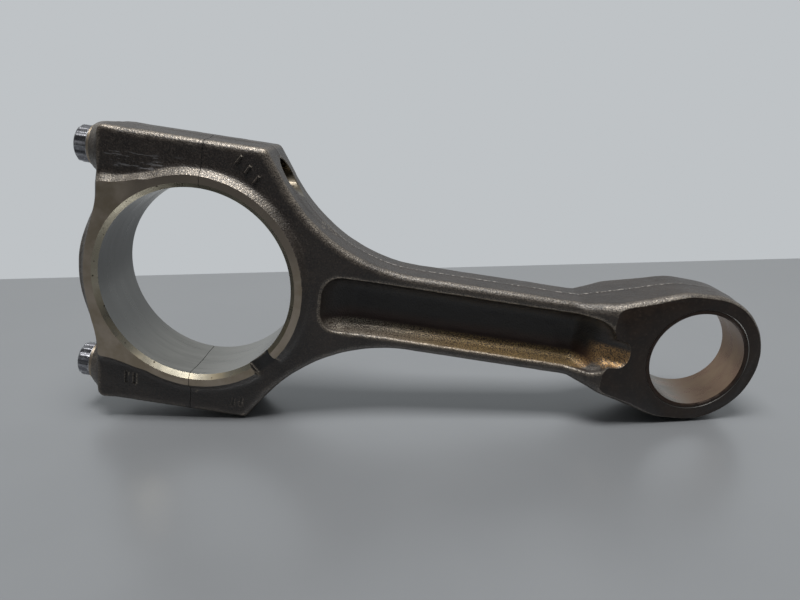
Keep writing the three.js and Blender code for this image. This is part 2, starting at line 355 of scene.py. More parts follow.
def forging_field(xs, ys, zs):
    """Signed distance to the forging on a grid, as float32."""
    x, z = np.meshgrid(xs, zs, indexing="ij")
    depth = np.abs(ys)[None, :, None].astype(np.float32)
    flash = FLASH_HEIGHT * np.exp(-((depth / FLASH_WIDTH) ** 4))
    outline = over_width(outline_distance(x, z, forging_outline()))
    wall = outline + FLASH_HEIGHT + DRAFT * depth - flash
    body = meet(wall, depth - along_rod(half_width(xs)), along_rod(edge_radius(xs)))
    body = join(body, thrust_field(x, z, ys, depth, wall), 0.7)
    end = xs < BOSS_END_X + 3 * BOSS_CORNER
    cones = seat_cones(xs[end, None, None], ys[None, :, None], zs[None, None, :])
    body[end] = join(body[end], cones.astype(np.float32), 0.8)

    floor = along_rod(web_width(xs)) - depth
    pocket = over_width(box_distance(x, z, POCKET_X, POCKET_HALF_HEIGHT, POCKET_CORNER))
    sides = pocket + WALL_DRAFT * np.maximum(SHANK_HALF_WIDTH - depth, 0)
    body = meet(body, -meet(sides, floor, FLOOR_FILLET), 0.7)
    corner = TONGUE_HALF_HEIGHT - 0.2
    tongue = box_distance(x, z - TONGUE_OFFSET, TONGUE_X, TONGUE_HALF_HEIGHT, corner)
    return meet(body, -meet(over_width(tongue), floor, TONGUE_FILLET), 0.6)


# ---- From field to mesh ----


def surface_mesh(field, origin, step):
    """Surface nets: one vertex in each cell that the surface crosses, pulled onto it."""
    inside = field < 0
    shape = np.array(field.shape) - 1
    count = 0
    for corner in CUBE_CORNERS:
        window = tuple(slice(c, c + length) for c, length in zip(corner, shape))
        count = count + inside[window].astype(np.int8)
    active = (count > 0) & (count < 8)
    cells = np.argwhere(active)
    index = np.full(active.shape, -1, np.int32)
    index[active] = np.arange(len(cells))

    faces = []
    for axis in range(3):
        u, v = (axis + 1) % 3, (axis + 2) % 3
        edges = np.argwhere(np.diff(inside, axis=axis))
        edges = edges[(edges[:, u] > 0) & (edges[:, v] > 0)]
        edges = edges[(edges[:, u] < shape[u]) & (edges[:, v] < shape[v])]
        step_u, step_v = np.eye(3, dtype=int)[u], np.eye(3, dtype=int)[v]
        ring = [edges, edges - step_u, edges - step_u - step_v, edges - step_v]
        quads = np.column_stack([index[tuple(r.T)] for r in ring])
        flip = ~inside[tuple(edges.T)]
        quads[flip] = quads[flip][:, ::-1]
        faces.append(quads)
    points = settle(field, crossing_points(field, cells))
    return points * step + origin, np.vstack(faces)


def crossing_points(field, cells):
    """For each cell, the middle of the places where the surface crosses the cell's edges."""
    total = np.zeros((len(cells), 3))
    hits = np.zeros(len(cells))
    for a in CUBE_CORNERS:
        for axis in range(3):
            if a[axis]:
                continue
            b = np.array(a)
            b[axis] = 1
            fa = field[tuple((cells + a).T)]
            fb = field[tuple((cells + b).T)]
            crosses = (fa < 0) != (fb < 0)
            share = np.where(crosses, fa / np.where(crosses, fa - fb, 1), 0)
            point = np.tile(np.array(a, float), (len(cells), 1))
            point[:, axis] = share
            total += point * crosses[:, None]
            hits += crosses
    return cells + total / hits[:, None]


def settle(field, points):
    """Points in grid units, moved along the field's slope until they lie on its zero level."""
    for _ in range(2):
        cell = np.clip(np.floor(points).astype(int), 0, np.array(field.shape) - 2)
        part = points - cell
        value = 0
        slope = np.zeros_like(points)
        for corner in CUBE_CORNERS:
            u, v, w = [part[:, a] if far else 1 - part[:, a] for a, far in enumerate(corner)]
            signs = [1 if far else -1 for far in corner]
            f = field[tuple((cell + corner).T)]
            value = value + f * u * v * w
            slope[:, 0] += f * signs[0] * v * w
            slope[:, 1] += f * signs[1] * u * w
            slope[:, 2] += f * signs[2] * u * v
        size2 = np.maximum((slope**2).sum(1), 1e-6)
        move = -(value / size2)[:, None] * slope
        points = points + np.clip(move, -0.4, 0.4)
    return points


def new_object(name, points, faces, slots=(), slot=0):
    """A smooth-shaded object from points and faces, every face in one material slot."""
    mesh = bpy.data.meshes.new(name)
    mesh.from_pydata(np.asarray(points, float).tolist(), [], [tuple(map(int, f)) for f in faces])
    mesh.update()
    for material in slots:
        mesh.materials.append(material)
    count = len(mesh.polygons)
    mesh.polygons.foreach_set("material_index", np.full(count, slot, np.int32))
    mesh.polygons.foreach_set("use_smooth", np.ones(count, bool))
    obj = bpy.data.objects.new(name, mesh)
    bpy.context.scene.collection.objects.link(obj)
    return obj


# ---- Cutting and joining ----


def outward(obj):
    """Turns a closed mesh's faces outward."""
    mesh = bmesh.new()
    mesh.from_mesh(obj.data)
    bmesh.ops.recalc_face_normals(mesh, faces=mesh.faces)
    mesh.to_mesh(obj.data)
    mesh.free()


def combine(obj, shape, operation="DIFFERENCE", slot=0):
    """Cuts a closed shape out of an object, or joins it on. New faces take one slot."""
    points, faces = shape
    tool = new_object("tool", points, faces, list(obj.data.materials), slot)
    outward(tool)
    modifier = obj.modifiers.new("tool", "BOOLEAN")
    modifier.operation = operation
    modifier.solver = "MANIFOLD"
    modifier.object = tool
    graph = bpy.context.evaluated_depsgraph_get()
    before, mesh = obj.data, bpy.data.meshes.new_from_object(obj.evaluated_get(graph))
    obj.modifiers.clear()
    obj.data = mesh
    bpy.data.meshes.remove(before)
    bpy.data.meshes.remove(tool.data)


def turned(profile, segments, axis="Y", centre=(0, 0)):
    """A shape turned about a line parallel to Y or X.

    profile is a list of (radius, place along the axis) pairs, or gives one for an angle. With
    both ends on the axis it makes a solid, and otherwise it closes on itself as a ring.
    """
    rings = []
    for angle in np.linspace(0, 2 * math.pi, segments, endpoint=False):
        pairs = profile(angle) if callable(profile) else profile
        rings.append([(r * math.cos(angle), along, r * math.sin(angle)) for r, along in pairs])
    solid = rings[0][0][0] == 0
    points = [rings[0][0], rings[0][-1]] if solid else []
    first = len(points)
    for ring in rings:
        points += ring[1:-1] if solid else ring
    count = (len(points) - first) // segments

    def at(i, k):
        return first + (i % segments) * count + k % count

    faces = []
    for i in range(segments):
        j = i + 1
        steps = range(count - 1 if solid else count)
        strip = [(at(i, k), at(i, k + 1), at(j, k + 1), at(j, k)) for k in steps]
        if solid:
            faces.append((0, at(i, 0), at(j, 0)))
            strip.append((at(i, count - 1), 1, at(j, count - 1)))
        faces += strip
    return placed(np.array(points), axis, centre), faces


def mirrored(half):
    """A profile whose second half is given, and whose first is the mirror image of it."""
    return [(radius, -along) for radius, along in reversed(half)] + half


def placed(points, axis, centre):
    """Points drawn about the Y axis, moved to a line parallel to Y or X.

    centre is the line's place in the two other directions.
    """
    if axis == "Y":
        return points + (centre[0], 0, centre[1])
    return points[:, (1, 0, 2)] + (0, centre[0], centre[1])


BOX_FACES = [(0, 1, 3, 2), (4, 6, 7, 5), (0, 4, 5, 1), (2, 3, 7, 6), (0, 2, 6, 4), (1, 5, 7, 3)]


def block(low, high):
    """A box between two corners."""
    xs, ys, zs = zip(low, high)
    return [(x, y, z) for x in xs for y in ys for z in zs], BOX_FACES


# ---- The big end's machining ----

FORGED, FACED, CHAMFERED, BORED, DRILLED, BROKEN, EYE_FACED = range(7)


def cut_thrust_faces(forging):
    """Faces both thrust pads to the bearing's width."""
    past = 60
    for side in (-1, 1):
        near, far = sorted((side * BIG_HALF_WIDTH, side * 2 * BIG_HALF_WIDTH))
        combine(forging, block((-past, near, -past), (past, far, past)), slot=FACED)


def cut_big_bore(forging):
    """Bores the big end and chamfers both mouths."""
    past, through = 3.0, 20
    inner, outer = BIG_BORE_R - past, BIG_BORE_R + BORE_CHAMFER + past
    deep, wide = BIG_HALF_WIDTH - BORE_CHAMFER - past, BIG_HALF_WIDTH + past
    chamfer = mirrored([(inner, deep), (outer, wide), (0, wide)])
    bore = mirrored([(BIG_BORE_R, through), (0, through)])
    combine(forging, turned(chamfer, BORE_SEGMENTS), slot=CHAMFERED)
    combine(forging, turned(bore, BORE_SEGMENTS), slot=BORED)


def thread_radius(along, angle, radii):
    """Radius of a screw thread with flat crests and roots, between its minor and major radii."""
    turns = along / THREAD_PITCH - angle / (2 * math.pi)
    flank = abs(2 * (turns - math.floor(turns)) - 1)
    return radii[0] + (radii[1] - radii[0]) * min(max(1.5 * flank - 0.25, 0), 1)


def tapped_hole(angle):
    """Profile of the threaded hole, from the joint face to its end."""
    ends = np.arange(0, TAPPED_END_X + 1, THREAD_PITCH / THREAD_STEPS)
    wall = [(thread_radius(x, angle, TAPPED_R), x) for x in ends]
    return [(0, 0)] + wall + [(0, ends[-1])]


def eased_lip(side, angle):
    """Profile of the cone that eases the lip where a hole leaves the sloping shoulder."""
    lip, back = 0.5, 0.4

    def reach(radius):
        height = BOLT_OFFSET + side * radius * math.sin(angle)
        return SHOULDER_X - height / math.tan(SHOULDER_ANGLE)

    inner, outer = HOLE_R - back, HOLE_R + lip + 1
    start = reach(inner) - back - lip
    return [(0, start), (inner, start), (outer, reach(outer) + 1), (0, reach(0) + 12)]


def cut_bolt_holes(forging):
    """Drills the cap, taps the rod and eases the lip where each hole leaves the shoulder."""
    past, flare = 60, 0.5
    drilled = [(0, -past), (HOLE_R, -past), (HOLE_R, 0), (HOLE_R + 0.4, flare), (0, flare)]
    relief = [(0, TAPPED_END_X), (HOLE_R, TAPPED_END_X), (HOLE_R, past), (0, past)]
    for side in (-1, 1):
        place = (0, side * BOLT_OFFSET)
        tools = (
            turned(drilled, HOLE_SEGMENTS, "X", place),
            turned(tapped_hole, TAPPED_SEGMENTS, "X", place),
            turned(relief, HOLE_SEGMENTS, "X", place),
            turned(partial(eased_lip, side), HOLE_SEGMENTS, "X", place),
        )
        for tool in tools:
            combine(forging, tool, slot=DRILLED)
        cut_seat(forging, place)


def cut_seat(forging, place):
    """Faces a bolt's seat and turns its rim down to a step in the cone."""
    far, wide = SEAT_X - 5, 2 * SEAT_R
    seat = [(0, far), (wide, far), (wide, SEAT_X), (0, SEAT_X)]
    rim = [
        (SEAT_R, far),
        (SEAT_R, SEAT_STEP_X - 0.35),
        (SEAT_R - 0.25, SEAT_STEP_X - 0.15),
        (SEAT_R, SEAT_STEP_X),
        (wide, SEAT_STEP_X),
        (wide, far),
    ]
    combine(forging, turned(seat, BOLT_SEGMENTS, "X", place), slot=FACED)
    combine(forging, turned(rim, BOLT_SEGMENTS, "X", place), slot=FACED)


# ---- The small end's machining ----


def bush_seat(angle):
    """Profile of the small end's bore, with a fine lip along both tapered mouths."""
    past = 30
    outer = BUSH_R + EYE_LIP + 1
    outer_y = face_width(CENTRES + outer * math.cos(angle)) + 1
    mouth_y = face_width(CENTRES + BUSH_R * math.cos(angle)) - EYE_LIP
    return mirrored([(BUSH_R, mouth_y), (outer, outer_y), (0, past)])


def cut_eye(forging):
    """Faces the small end's two tapered sides and bores it for the bush."""
    near_x, far_x, past = 95, 175, 30
    for side in (-1, 1):
        points = [
            (x, side * y, z)
            for x in (near_x, far_x)
            for y in (face_width(x), past)
            for z in (-past, past)
        ]
        combine(forging, (points, BOX_FACES), slot=EYE_FACED)
    combine(forging, turned(bush_seat, EYE_SEGMENTS, "Y", (CENTRES, 0)), slot=BORED)


# ---- Marks ----


# First mark, step to the next, count, length, lean in degrees, half size, operation.
MARK_ROWS = (
    ((10.3, 36.6), (2.5, -2.3), 3, 2.7, 58, 0.44, "UNION"),
    ((-19.4, -32.4), (2.5, 0.0), 2, 3.6, 88, 0.36, "DIFFERENCE"),
    ((13.1, -35.2), (2.3, 0.3), 2, 2.8, 84, 0.3, "DIFFERENCE"),
)


def bar(centre, length, lean, half_size):
    """A short bar with sloping sides and ends, half sunk in the front of a boss."""
    along = Vector((math.cos(lean), 0, math.sin(lean)))
    across = Vector((-math.sin(lean), 0, math.cos(lean)))
    origin = Vector((centre[0], -BOSS_HALF_WIDTH, centre[1]))
    points = []
    for height, share in ((-half_size, 1.35), (0, 1.0), (half_size, 0.5)):
        half_length = length / 2 + half_size * (share - 1)
        half_breadth = half_size * share
        for a, b in ((-1, -1), (1, -1), (1, 1), (-1, 1)):
            spot = along * a * half_length + across * b * half_breadth
            points.append(origin + spot + Vector((0, -height, 0)))
    faces = [(3, 2, 1, 0), (8, 9, 10, 11)]
    for low in (0, 4):
        for i in range(4):
            j = (i + 1) % 4
            faces.append((low + i, low + j, low + 4 + j, low + 4 + i))
    return points, faces


def add_marks(forging):
    """Plain tally strokes: raised by the die on the upper boss, punched into the lower ones."""
    for (x, z), (step_x, step_z), count, length, lean, half_size, operation in MARK_ROWS:
        for k in range(count):
            centre = (x + step_x * k, z + step_z * k)
            mark = bar(centre, length, math.radians(lean), half_size)
            combine(forging, mark, operation, FORGED)


# ---- Splitting the cap off ----


# Height, size, shift and seed of each layer of the fracture's relief.
FRACTURE_RELIEF = ((0.42, 6.0, 0, 11), (0.2, 2.1, 3, 12), (0.08, 0.8, 5, 13))


def fracture_half(side):
    """Everything on one side of the fracture, with that side's rough face."""
    half_y, half_z, far = 16, 46, 200.0
    ys = np.arange(-half_y, half_y + FRACTURE_STEP, FRACTURE_STEP)
    zs = np.arange(-half_z, half_z + FRACTURE_STEP, FRACTURE_STEP)
    y, z = np.meshgrid(ys, zs, indexing="ij")
    face = 0
    for height, size, shift, seed in FRACTURE_RELIEF:
        face = face + height * lattice_noise(y + 40, z + 80, 0 * y + shift, size, seed)
    face = face - side * CRACK_HALF_GAP
    at = np.arange(y.size).reshape(y.shape)
    quads = np.stack((at[:-1, :-1], at[1:, :-1], at[1:, 1:], at[:-1, 1:]), -1).reshape(-1, 4)
    rim = np.concatenate((at[0, :-1], at[:-1, -1], at[-1, :0:-1], at[:0:-1, 0]))
    behind = y.size + np.arange(len(rim))
    walls = np.column_stack((rim, np.roll(rim, -1), np.roll(behind, -1), behind))
    front = np.column_stack((face.ravel(), y.ravel(), z.ravel()))
    back = front[rim]
    back[:, 0] = side * far
    faces = quads.tolist() + walls.tolist() + [behind.tolist()]
    return np.vstack((front, back)), faces


def split(forging):
    """The rod and the cap, each with its own side of the fracture."""
    cap = forging.copy()
    cap.data = forging.data.copy()
    bpy.context.scene.collection.objects.link(cap)
    combine(forging, fracture_half(-1), slot=BROKEN)
    combine(cap, fracture_half(1), slot=BROKEN)
    return forging, cap


# ---- Pieces ----


BLANK_LOW = np.array((-37.0, -14.6, -42.0))
BLANK_HIGH = np.array((166.5, 14.6, 42.0))

# Height, size and seed of each layer of the forged skin's waviness.
SKIN_WAVES = ((0.07, 7.0, 1), (0.035, 2.2, 2))
SKIN_SHRINKAGE = 0.05


def forged_blank(materials):
    """The whole forging as one mesh, with the slight waviness of a hot-worked skin."""
    axes = [np.arange(a, b + GRID_STEP, GRID_STEP) for a, b in zip(BLANK_LOW, BLANK_HIGH)]
    points, faces = surface_mesh(forging_field(*axes), BLANK_LOW, GRID_STEP)
    blank = new_object("forged_rod", points, faces, materials)
    normals = np.empty(len(points) * 3, np.float32)
    blank.data.vertices.foreach_get("normal", normals)
    x, y, z = (points + 100).T
    wave = sum(height * lattice_noise(x, y, z, size, seed) for height, size, seed in SKIN_WAVES)
    moved = points + normals.reshape(-1, 3) * (wave - SKIN_SHRINKAGE)[:, None]
    blank.data.vertices.foreach_set("co", moved.astype(np.float32).ravel())
    blank.data.update()
    return blank


def settle_in_place(piece, node, body):
    """Moves a finished piece into the row's frame and hands it to its CAD body."""
    piece.data.transform(ROD_TO_ROW @ Matrix.Scale(MM, 4))
    piece.data.set_sharp_from_angle(angle=math.radians(38))
    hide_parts(node)
    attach(piece, body)


def bush(materials):
    """The bronze bush: its ends follow the tapered faces, with a small chamfer inside."""
    chamfer, edge, end_tilt = 0.35, 0.08, 0.4

    def profile(angle):
        def reach(radius):
            return face_width(CENTRES + radius * math.cos(angle)) - BUSH_RECESS

        inner, outer = PIN_BORE_R, BUSH_R - BUSH_PLAY
        right = [
            (inner, reach(inner) - chamfer),
            (inner + chamfer, reach(inner + chamfer)),
            (outer - edge, reach(outer - edge)),
            (outer, reach(outer) - edge),
        ]
        return right + [(r, -y) for r, y in reversed(right)]

    points, faces = turned(profile, EYE_SEGMENTS, "Y", (CENTRES, 0))
    piece = new_object("bronze_bush", points, faces, materials)
    outward(piece)
    ends = np.array([abs(p.normal.y) > end_tilt for p in piece.data.polygons], np.int32)
    piece.data.polygons.foreach_set("material_index", ends)
    return piece


def head_radius(angle):
    """Radius of a twelve-point head: two hexagons, a twelfth of a turn apart."""
    sixth = math.pi / 3

    def reach(at):
        return HEAD_FLAT / math.cos((at + sixth / 2) % sixth - sixth / 2)

    return min(max(reach(angle), reach(angle + sixth / 2)), HEAD_POINT_R)


def bolt_radius(along, angle):
    """Radius of a cap bolt at a place along it and around it."""
    down = along - SEAT_X
    if down < -WASHER_HEIGHT:
        from_end = down + WASHER_HEIGHT + HEAD_HEIGHT
        return min(head_radius(angle), HEAD_CROWN_R + HEAD_CROWN_SLOPE * from_end)
    if down < 0:
        return WASHER_R
    if down < BOLT_COLLAR:
        return BOLT_R
    if along < THREAD_START_X:
        return max(BOLT_WAIST_R, BOLT_R - (down - BOLT_COLLAR))
    return min(thread_radius(along, angle, THREAD_R), BOLT_TIP_R + BOLT_END_X - along)


def cap_bolt(name, side, materials):
    """A twelve-point cap bolt: dished head, thin washer face, waisted shank and rolled thread."""
    hair = 0.02
    washer = SEAT_X - WASHER_HEIGHT
    head_end = washer - HEAD_HEIGHT
    collar_end = SEAT_X + BOLT_COLLAR
    places = list(head_end + np.linspace(0, 0.7, 6))
    places += list(np.linspace(head_end + 1.2, washer - 0.3, 4))
    places += [washer - hair, washer + hair, SEAT_X - hair, SEAT_X + hair]
    places += [collar_end - hair, collar_end + 0.05, collar_end + 0.4, THREAD_START_X - hair]
    places += list(np.arange(THREAD_START_X + hair, BOLT_END_X, THREAD_PITCH / THREAD_STEPS))
    places.append(BOLT_END_X)

    def profile(angle):
        dish = [(radius, head_end + deep) for radius, deep in HEAD_DISH]
        return dish + [(bolt_radius(x, angle), x) for x in places] + [(0, BOLT_END_X)]

    points, faces = turned(profile, BOLT_SEGMENTS, "X", (0, side * BOLT_OFFSET))
    piece = new_object(name, points, faces, materials)
    outward(piece)
    below_head = np.array([p.center.x > SEAT_X + 0.5 for p in piece.data.polygons], np.int32)
    piece.data.polygons.foreach_set("material_index", below_head)
    return piece


# ---- Materials ----


class Nodes:
    """A node tree, with short calls for the nodes that the finishes and the sky share."""

    def __init__(self, tree):
        self.tree = tree
        self.tree.nodes.clear()

    def fill(self, node, inputs):
        """Sets a node's inputs, each to a value or another node's output, or leaves it at None."""
        for key, value in inputs.items():
            if isinstance(value, bpy.types.NodeSocket):
                self.tree.links.new(value, node.inputs[key])
            elif value is not None:
                node.inputs[key].default_value = value

    def node(self, kind, inputs=None, **settings):
        """A new node with its settings and inputs."""
        node = self.tree.nodes.new(kind)
        for key, value in settings.items():
            setattr(node, key, value)
        self.fill(node, inputs or {})
        return node

    def result(self, kind, inputs=None, output=0, **settings):
        """One output of a new node."""
        return self.node(kind, inputs, **settings).outputs[output]

    def math(self, operation, a, b=0.0):
        """One step of arithmetic."""
        return self.result("ShaderNodeMath", {0: a, 1: b}, operation=operation)

    def absolute(self, value):
        """A value without its sign."""
        return self.math("ABSOLUTE", value)

    def larger(self, a, b):
        """The larger of two values: where either mask holds."""
        return self.math("MAXIMUM", a, b)

    def product(self, first, *others):
        """Values multiplied together: where all masks hold."""
        for other in others:
            first = self.math("MULTIPLY", first, other)
        return first

    def band(self, value, low, high, to_low=0.0, to_high=1.0):
        """Maps a value from one range to another, smoothly and within it."""
        inputs = dict(enumerate((value, low, high, to_low, to_high)))
        return self.result("ShaderNodeMapRange", inputs, interpolation_type="SMOOTHSTEP")

    def between(self, value, start, full, fading, end):
        """A mask that rises from start to full and falls from fading to end."""
        return self.product(self.band(value, start, full), self.band(value, end, fading))


class Shader(Nodes):
    """A material's nodes, with the point in the rod's frame and the surface to finish."""

    def __init__(self, name):
        self.material = bpy.data.materials.new(name)
        self.material.use_nodes = True
        super().__init__(self.material.node_tree)
        self.surface = self.node("ShaderNodeBsdfPrincipled")
        self.node("ShaderNodeOutputMaterial", {0: self.surface.outputs[0]})
        inputs = {
            "Vector": self.result("ShaderNodeTexCoord", output="Object"),
            "Location": (ROD_TO_ROW @ Matrix.Scale(MM, 4)).inverted().translation,
            "Rotation": (0, -REST_ANGLE, 0),
            "Scale": (1 / MM, 1 / MM, 1 / MM),
        }
        self.place = self.result("ShaderNodeMapping", inputs, vector_type="POINT")

    def axes(self):
        """The point's three coordinates, in millimetres."""
        return tuple(self.node("ShaderNodeSeparateXYZ", {0: self.place}).outputs)

    def polar(self, centre_x=0.0):
        """Distance from a bore's axis, and the angle around it."""
        x, _, z = self.axes()
        x = self.math("SUBTRACT", x, centre_x)
        square = self.math("ADD", self.product(x, x), self.product(z, z))
        return self.math("SQRT", square), self.math("ARCTAN2", z, x)

    def noise(self, size, detail=3.0, rough=0.5, vector=None):
        """Noise whose features are about size millimetres across."""
        inputs = {"Vector": vector or self.place, "Scale": 1 / size, "Detail": detail}
        return self.result("ShaderNodeTexNoise", {**inputs, "Roughness": rough}, "Fac")

    def spread(self, noise, low=0.0, high=1.0):
        """The usual range of a noise, mapped to another."""
        return self.band(noise, 0.3, 0.7, low, high)

    def cells(self, size):
        """Distance to the nearest of random points about size millimetres apart."""
        inputs = {"Vector": self.place, "Scale": 1 / size}
        return self.result("ShaderNodeTexVoronoi", inputs, "Distance", feature="F1")

    def mix(self, share, a, b):
        """Blends two colours, each three numbers or another blend."""
        inputs = {0: share}
        for key, colour in ((6, a), (7, b)):
            inputs[key] = colour if isinstance(colour, bpy.types.NodeSocket) else (*colour, 1)
        return self.result("ShaderNodeMix", inputs, 2, data_type="RGBA")

    def bump(self, height, distance, normal=None):
        """A bump whose full height is distance millimetres, on top of another if one is given."""
        inputs = {"Height": height, "Distance": distance * MM, "Normal": normal}
        return self.result("ShaderNodeBump", inputs)

    def stretched(self, a, a_scale, b, b_scale):
        """Two measures with a scale each, as a place for noise that is drawn out one way."""
        inputs = {0: self.product(a, a_scale), 1: self.product(b, b_scale)}
        return self.result("ShaderNodeCombineXYZ", inputs)

    def tool_marks(self, a, a_scale, b, b_scale):
        """The bump of the fine marks that turning, grinding or honing leaves."""
        lines = self.noise(1.0, 2.0, 0.6, self.stretched(a, a_scale, b, b_scale))
        return self.bump(lines, 0.006)

    def finish(self, colour, roughness, normal=None, metallic=0.0, ior=1.5):
        """Sets the surface. Plain values go straight on the shader's own sockets."""
        inputs = {"Base Color": colour, "Roughness": roughness, "Normal": normal}
        self.fill(self.surface, {**inputs, "Metallic": metallic, "IOR": ior})
        return self.material


# Where the forging's stains, marks, painted shade and painted highlights lie along the rod
# and across it, in millimetres: start, full, fading, end.
RECESS_X = (36, 42, 119, 122)
TONGUE_GILT_AND_HIGHLIGHT_X = (110, 113, 127, 129)
SEAM_X = (30, 45, 130, 146)
SCRATCHES_X = (-27, -24, -6, -3)
SCRATCHES_Z = (28.5, 30, 33, 35.5)

# The same for the sideways part of the normal, where highlights are painted on the thrust bevel
# and on rounded edges.
BEVEL_TILT = (0.35, 0.55, 0.86, 0.97)
EDGE_TILT = (0.15, 0.4, 0.8, 0.97)


def recess_mask(s):
    """The shank's pocket: its floor and walls."""
    x, y, z = s.axes()
    inside = s.product(s.band(s.absolute(y), 8.8, 7.6), s.band(s.absolute(z), 8.9, 8.1))
    return s.product(inside, s.between(x, *RECESS_X))


def gilt_and_highlight_mask(s, in_recess):
    """Golden oil stain and painted highlight: the pocket's lower wall, and the bowl where the
    pocket runs out, which face up.
    """
    x, y, z = s.axes()
    wall = s.product(s.band(z, -4.6, -6.2), in_recess)
    on_tongue = s.product(
        s.between(x, *TONGUE_GILT_AND_HIGHLIGHT_X),
        s.band(s.absolute(z), 6.2, 5.0),
        s.band(s.absolute(y), 12.6, 11.8),
    )
    bowl = s.product(on_tongue, s.band(x, 113.5, 117.5), s.band(z, 1.2, -0.6))
    return s.larger(wall, bowl)


def glint_mask(s, patches, in_recess):
    """Painted highlight on bevels, edges and bolt seats that face the overhead light, broken up in
    patches.
    """
    x, y, _ = s.axes()
    normal = s.result("ShaderNodeNewGeometry", output="Normal")
    _, sideways, up = s.node("ShaderNodeSeparateXYZ", {0: normal}).outputs
    tilt = s.absolute(sideways)
    bevel = s.product(
        s.between(tilt, *BEVEL_TILT),
        s.band(s.absolute(y), 9.6, 10.3),
        s.band(up, 0.36, 0.62, 0.08, 0.8),
    )
    edge = s.product(
        s.between(tilt, *EDGE_TILT),
        s.band(up, 0.25, 0.6),
        s.band(x, 20, 50, 1.0, 0.45),
    )
    seat = s.band(x, BOSS_END_X + 0.2, BOSS_END_X - 0.8, 0.0, 0.45)
    glint = s.larger(bevel, s.larger(edge, seat))
    patchy = s.product(glint, s.band(patches, 0.25, 0.5, 0.45, 1.0))
    return s.product(patchy, s.band(in_recess, 0.6, 0.2))


def worn_mask(s, patches):
    """Corners rubbed bright in patches, apart from the crack's own corners."""
    x, _, _ = s.axes()
    point = s.result("ShaderNodeNewGeometry", output="Pointiness")
    return s.product(
        s.between(point, 0.503, 0.53, 0.56, 0.60),
        s.band(patches, 0.3, 0.55, 0.35, 1.0),
        s.band(s.absolute(x), 0.9, 1.7),
    )


def seam_mask(s):
    """The dies' parting line along the forging's edge, rubbed bright here and there."""
    x, y, _ = s.axes()
    line = s.band(s.absolute(y), 0.45, 0.2)
    return s.product(line, s.band(s.noise(0.9, 2.0), 0.5, 0.6), s.between(x, *SEAM_X))


def scratch_mask(s):
    """Fine scratches along the rod on the cap's upper boss."""
    x, y, z = s.axes()
    drawn_out = s.result("ShaderNodeCombineXYZ", {0: s.product(x, 0.14), 1: y, 2: z})
    lines = s.band(s.noise(0.7, 3.0, 0.6, drawn_out), 0.57, 0.63)
    return s.product(lines, s.between(x, *SCRATCHES_X), s.between(z, *SCRATCHES_Z))


def forged_steel():
    """Shot-blasted forging scale: oily, near black, finely pitted and rubbed on its edges, with
    painted shade and painted highlights.
    """
    s = Shader("forged_steel")
    x, _, z = s.axes()
    radius, _ = s.polar()
    patches = s.noise(9.0, 4.0, 0.6)
    grain = s.noise(0.42, 3.0, 0.65)
    speck = s.noise(0.3, 2.0, 0.7)
    in_recess = recess_mask(s)
    in_notch = s.product(s.band(z, -15, -17), s.band(radius, 32.0, 30.8))
    rust = s.product(in_recess, s.band(z, -0.5, -4.0))
    glint = s.product(glint_mask(s, patches, in_recess), s.band(speck, 0.38, 0.62))
    gilt_and_highlight = s.product(gilt_and_highlight_mask(s, in_recess), s.band(speck, 0.42, 0.58))
    worn = s.product(worn_mask(s, patches), s.band(speck, 0.42, 0.6))

    colour = s.mix(s.band(patches, 0.35, 0.65), (0.011, 0.0075, 0.006), (0.022, 0.0155, 0.012))
    colour = s.mix(s.band(grain, 0.42, 0.7), colour, (0.046, 0.034, 0.026))
    # Painted shade: the pocket and the notch are darkened to near black.
    colour = s.mix(in_recess, colour, (0.006, 0.0042, 0.0035))
    colour = s.mix(in_notch, colour, (0.005, 0.004, 0.0035))
    colour = s.mix(rust, colour, (0.030, 0.009, 0.003))
    # Painted highlight: bevels, edges and bolt seats that face up, lightened.
    colour = s.mix(glint, colour, (0.34, 0.30, 0.25))
    straw = s.mix(s.band(x, 45, 85), (0.66, 0.59, 0.48), (0.70, 0.50, 0.24))
    gold = s.mix(s.band(x, 110, 115), straw, (0.60, 0.36, 0.15))
    # Golden oil stain and painted highlight on the pocket's lower wall and the bowl, which face
    # up.
    colour = s.mix(gilt_and_highlight, colour, gold)
    colour = s.mix(worn, colour, (0.36, 0.31, 0.25))
    colour = s.mix(seam_mask(s), colour, (0.30, 0.27, 0.24))
    colour = s.mix(scratch_mask(s), colour, (0.13, 0.125, 0.125))

    pits = s.cells(0.5)
    relief = s.math("ADD", s.product(grain, 0.7), s.product(pits, 0.4))
    normal = s.bump(s.noise(2.4, 2.0), 0.12, s.bump(relief, 0.15))
    roughness = s.spread(grain, 0.34, 0.54)
    # Metal where edges are worn, and where the highlights and the gilt are painted.
    bare_and_highlight = s.larger(worn, s.larger(gilt_and_highlight, glint))
    return s.finish(colour, roughness, normal, metallic=s.product(bare_and_highlight, 0.85), ior=1.65)


def faced_steel():
    """Ground thrust faces, stained by hot oil: grey-brown, darker in drifts, with painted shade on
    their upper part.
    """
    s = Shader("faced_steel")
    x, _, z = s.axes()
    radius, angle = s.polar()
    stain = s.noise(7.0, 4.0, 0.6)
    painted_shade = s.product(s.band(x, -22, -14), s.band(z, 5, 16))
    colour = s.mix(s.spread(stain), (0.36, 0.295, 0.215), (0.50, 0.425, 0.345))
    # Painted shade: darker over the upper part of the faces.
    colour = s.mix(painted_shade, colour, (0.31, 0.26, 0.21))
    roughness = s.spread(stain, 0.30, 0.44)
    normal = s.tool_marks(radius, 9.0, angle, 1.0)
    return s.finish(colour, roughness, normal, metallic=0.85, ior=1.6)


